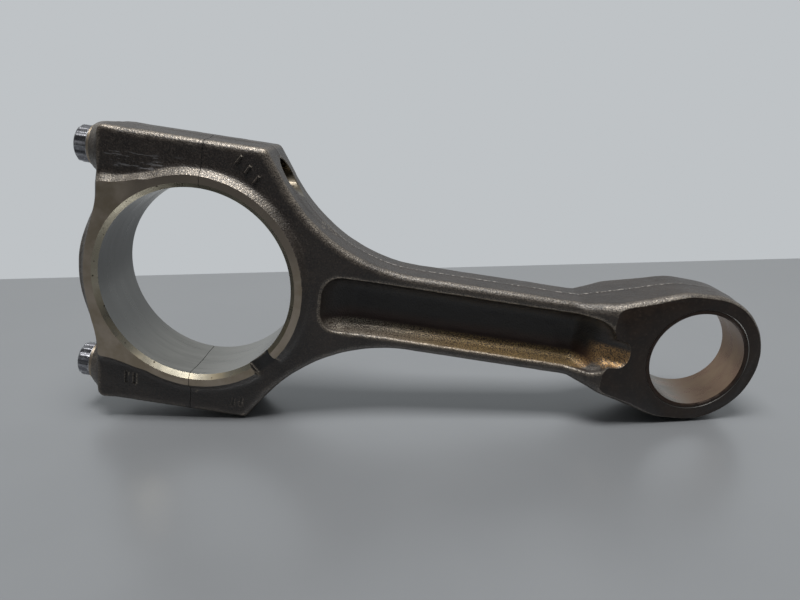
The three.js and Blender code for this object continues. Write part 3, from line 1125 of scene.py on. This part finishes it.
def eye_steel():
    """The small end's tapered faces: smooth and dark with baked oil."""
    s = Shader("eye_steel")
    stain = s.noise(6.0, 5.0, 0.6)
    fine = s.noise(0.8, 3.0, 0.6)
    colour = s.mix(s.band(stain, 0.3, 0.72), (0.017, 0.012, 0.0095), (0.033, 0.0205, 0.0135))
    colour = s.mix(s.band(fine, 0.5, 0.75), colour, (0.045, 0.032, 0.024))
    return s.finish(colour, s.spread(stain, 0.30, 0.42), s.bump(fine, 0.012), metallic=0.1)


def chamfered_steel():
    """The bore's chamfers: turned, straw-coloured, with dark specks, and painted shade that dulls
    them towards the top.
    """
    s = Shader("chamfered_steel")
    _, _, z = s.axes()
    stain = s.noise(5.0, 3.0)
    colour = s.mix(s.band(stain, 0.35, 0.7), (0.74, 0.68, 0.54), (0.55, 0.47, 0.33))
    # Painted shade: darker towards the top of the chamfers.
    colour = s.mix(s.band(z, -14, 6), colour, (0.33, 0.30, 0.23))
    colour = s.mix(s.band(s.cells(2.2), 0.16, 0.08), colour, (0.05, 0.04, 0.03))
    return s.finish(colour, s.spread(stain, 0.24, 0.36), metallic=1.0)


def bored_steel():
    """The honed big-end bore: satin grey with fine marks around it, and painted shade that darkens
    the cap's side.
    """
    s = Shader("bored_steel")
    x, y, _ = s.axes()
    _, angle = s.polar()
    wiping = s.noise(3.0, 3.0, 0.6, s.stretched(angle, 3.0, y, 1.0))
    colour = s.mix(s.spread(wiping), (0.28, 0.275, 0.255), (0.40, 0.39, 0.365))
    # Painted shade: darker on the cap's side of the bore.
    colour = s.mix(s.band(x, -6, -24), colour, (0.165, 0.165, 0.16))
    roughness = s.spread(wiping, 0.26, 0.36)
    return s.finish(colour, roughness, s.tool_marks(angle, 4.0, y, 12.0), metallic=1.0)


def drilled_steel():
    """Drilled and tapped holes: oily brown steel."""
    s = Shader("drilled_steel")
    stain = s.noise(1.6, 3.0)
    colour = s.mix(s.spread(stain), (0.12, 0.10, 0.075), (0.22, 0.19, 0.145))
    return s.finish(colour, s.spread(stain, 0.28, 0.42), s.bump(stain, 0.02), metallic=1.0)


def broken_steel():
    """The cracked joint faces: bright grey, granular and matt."""
    s = Shader("broken_steel")
    crystals = s.cells(0.35)
    cloud = s.noise(3.0, 3.0)
    colour = s.mix(s.spread(cloud), (0.17, 0.165, 0.16), (0.30, 0.295, 0.285))
    roughness = s.band(crystals, 0.1, 0.7, 0.42, 0.65)
    return s.finish(colour, roughness, s.bump(crystals, 0.10), metallic=0.9)


def bush_bronze():
    """The bush's running surface: bronze, worn silvery on the side towards the shank."""
    s = Shader("bush_bronze")
    x, y, _ = s.axes()
    _, angle = s.polar(CENTRES)
    cloud = s.noise(2.2, 4.0, 0.6, s.stretched(angle, 3.2, y, 0.5))
    silver = s.product(s.band(x, CENTRES + 6, CENTRES - 6), s.band(cloud, 0.25, 0.6))
    colour = s.mix(s.spread(cloud), (0.22, 0.14, 0.10), (0.30, 0.21, 0.14))
    colour = s.mix(silver, colour, (0.22, 0.215, 0.20))
    roughness = s.spread(cloud, 0.24, 0.38)
    return s.finish(colour, roughness, s.tool_marks(angle, 3.0, y, 9.0), metallic=1.0)


def bush_ends():
    """The bush's ends: bronze darkened by oil."""
    s = Shader("bush_ends")
    cloud = s.noise(2.0, 3.0)
    colour = s.mix(s.spread(cloud), (0.030, 0.018, 0.013), (0.050, 0.030, 0.020))
    return s.finish(colour, s.spread(cloud, 0.26, 0.4), metallic=0.4)


def bolt_steel(name, light, dark):
    """Phosphated bolt steel, rubbed bright where a socket or the thread bears."""
    s = Shader(name)
    edge = s.band(s.result("ShaderNodeNewGeometry", output="Pointiness"), 0.50, 0.58)
    cloud = s.noise(1.4, 4.0, 0.65)
    rubbed = s.larger(edge, s.band(cloud, 0.5, 0.7))
    colour = s.mix(rubbed, dark, light)
    roughness = s.spread(cloud, 0.36, 0.22)
    return s.finish(colour, roughness, s.bump(s.noise(0.35, 2.0), 0.02), metallic=0.95)


# ---- Stage, camera and lights ----

CAMERA_AIM = Vector((-0.0022, 0, 0.0349))
CAMERA_DISTANCE = 0.1828
CAMERA_AZIMUTH = math.radians(2.67)
CAMERA_ELEVATION = math.radians(17.87)
CAMERA_ROLL = math.radians(-0.79)
CAMERA_LENS = 27.5

TABLE_BACK = 0.168
TABLE_TURN = math.radians(5.4)

LIGHT_PLACE = (0.0, -0.12, 0.75)
LIGHT_TARGET = (0, 0.02, 0.03)
LIGHT_SIZE = (0.46, 0.28)
LIGHT_POWER = 6.2

# How far the bright wall spreads and reaches up, as parts of a direction, and its strengths.
WALL_SPREAD = (0.0, 0.6)
WALL_TOP = (0.35, 0.85)
WALL_LIGHT = 0.55
WALL_ABOVE = 0.25
ROOM_LIGHT = 0.012
CEILING_LIGHT = 0.12
CEILING_RISE = (-0.1, 0.9)
LIT_COLOUR = (0.94, 0.98, 1.0, 1)
SEEN_COLOUR = (0.52, 0.545, 0.565, 1)


def set_camera():
    """A camera at the photograph's angle and distance."""
    level = math.cos(CAMERA_ELEVATION)
    x, y = level * math.sin(CAMERA_AZIMUTH), -level * math.cos(CAMERA_AZIMUTH)
    back = Vector((x, y, math.sin(CAMERA_ELEVATION)))
    camera = bpy.data.objects.new("camera", bpy.data.cameras.new("camera"))
    camera.data.lens = CAMERA_LENS
    camera.data.sensor_width = 36
    camera.data.clip_start = 0.005
    camera.location = CAMERA_AIM + back * CAMERA_DISTANCE
    facing = back.to_track_quat("Z", "Y").to_matrix()
    camera.rotation_euler = (facing @ Matrix.Rotation(CAMERA_ROLL, 3, "Z")).to_euler()
    bpy.context.scene.collection.objects.link(camera)
    bpy.context.scene.camera = camera


def table_finish():
    """A plain grey satin surface."""
    s = Shader("table")
    cloud = s.noise(60.0, 3.0)
    colour = s.mix(s.spread(cloud), (0.30, 0.31, 0.322), (0.315, 0.325, 0.337))
    return s.finish(colour, s.spread(cloud, 0.31, 0.34), metallic=0.35)


def set_stage():
    """A grey table top that ends a little behind the part."""
    half_width, depth, thickness, drop = 0.75, 1.2, 0.02, 0.0001
    points, faces = block((-half_width, -depth, -thickness), (half_width, 0, -drop))
    table = new_object("table", points, faces, [table_finish()])
    outward(table)
    turn = Matrix.Translation((0, TABLE_BACK, 0)) @ Matrix.Rotation(TABLE_TURN, 4, "Z")
    table.data.transform(turn)
    table.data.set_sharp_from_angle(angle=math.radians(30))


def area_light(name, place, target, size, power):
    """A soft rectangular light that points at a target."""
    light = bpy.data.objects.new(name, bpy.data.lights.new(name, "AREA"))
    light.data.shape = "RECTANGLE"
    light.data.size, light.data.size_y = size
    light.data.energy = power
    light.location = place
    light.rotation_euler = (Vector(place) - Vector(target)).to_track_quat("Z", "Y").to_euler()
    bpy.context.scene.collection.objects.link(light)


def set_lights():
    """One soft light overhead and a pale wall behind, in a room that is dim elsewhere."""
    area_light("overhead", LIGHT_PLACE, LIGHT_TARGET, LIGHT_SIZE, LIGHT_POWER)
    world = bpy.data.worlds.new("studio")
    bpy.context.scene.world = world
    world.use_nodes = True
    sky = Nodes(world.node_tree)
    direction = sky.result("ShaderNodeTexCoord", output="Generated")
    _, behind, up = sky.node("ShaderNodeSeparateXYZ", {0: direction}).outputs
    wall = sky.product(
        sky.band(behind, *WALL_SPREAD, 0, WALL_LIGHT), sky.band(up, *WALL_TOP, 1, WALL_ABOVE)
    )
    room = sky.math("ADD", wall, sky.band(up, *CEILING_RISE, ROOM_LIGHT, CEILING_LIGHT))
    lit = sky.result("ShaderNodeBackground", {"Color": LIT_COLOUR, "Strength": room})
    seen = sky.result("ShaderNodeBackground", {"Color": SEEN_COLOUR})
    camera_ray = sky.result("ShaderNodeLightPath", output="Is Camera Ray")
    shown = sky.result("ShaderNodeMixShader", {0: camera_ray, 1: lit, 2: seen})
    sky.node("ShaderNodeOutputWorld", {0: shown})


# ---- The scene ----


def main():
    """Builds the pieces with their finishes, then the stage, the camera and the lights."""
    steel = [forged_steel(), faced_steel(), chamfered_steel(), bored_steel()]
    steel += [drilled_steel(), broken_steel(), eye_steel()]
    forging = forged_blank(steel)
    cut_thrust_faces(forging)
    cut_big_bore(forging)
    cut_bolt_holes(forging)
    cut_eye(forging)
    add_marks(forging)
    rod, cap = split(forging)
    cap.name = "cracked_cap"
    settle_in_place(rod, "rod_forging", "rod")
    settle_in_place(cap, "big_end_cap", "cap")
    ring = bush([bush_bronze(), bush_ends()])
    settle_in_place(ring, "small_end_bush", "rod")
    finishes = [
        bolt_steel("bolt_head", (0.68, 0.69, 0.72), (0.24, 0.24, 0.26)),
        bolt_steel("bolt_thread", (0.30, 0.29, 0.27), (0.10, 0.095, 0.09)),
    ]
    for side, which in ((1, "upper"), (-1, "lower")):
        bolt = cap_bolt(f"{which}_bolt_turned", side, finishes)
        settle_in_place(bolt, f"{which}_cap_bolt", f"{which}_bolt")
    set_stage()
    set_camera()
    set_lights()
    bpy.context.scene.view_settings.view_transform = "Standard"


main()
